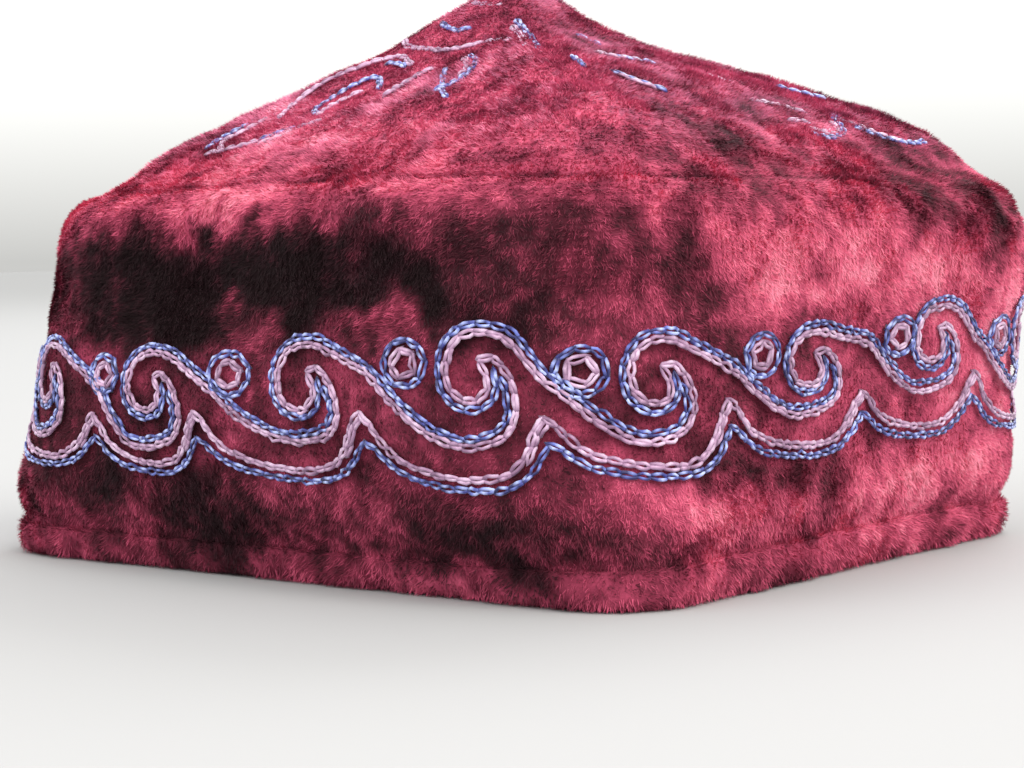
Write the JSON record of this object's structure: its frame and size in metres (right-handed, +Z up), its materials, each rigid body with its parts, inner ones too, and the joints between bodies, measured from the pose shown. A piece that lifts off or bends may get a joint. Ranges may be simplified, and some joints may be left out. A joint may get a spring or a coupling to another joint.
{
  "type": "tubeteika skullcap",
  "caption": "Soft four-sided velvet skullcap with a pointed crown, a tall embroidered band and a rolled hem that it stands on; worn on the head.",
  "frame": {"origin": "on the resting surface, under the middle of the cap's bounding box", "axes": "+Z up, from hem to tip; the crown panels face -Y (front), +X (right), +Y (back) and -X (left)"},
  "size_m": [0.166, 0.1566, 0.1084],
  "materials": {
    "velvet": "crushed burgundy velvet pile",
    "binding_velvet": "crushed burgundy velvet, rolled over the edge"
  },
  "bodies": {
    "root": {"band": "velvet", "hem_binding": "binding_velvet", "crown_panel_front": "velvet", "crown_panel_right": "velvet", "crown_panel_back": "velvet", "crown_panel_left": "velvet"}
  },
  "joints": []
}
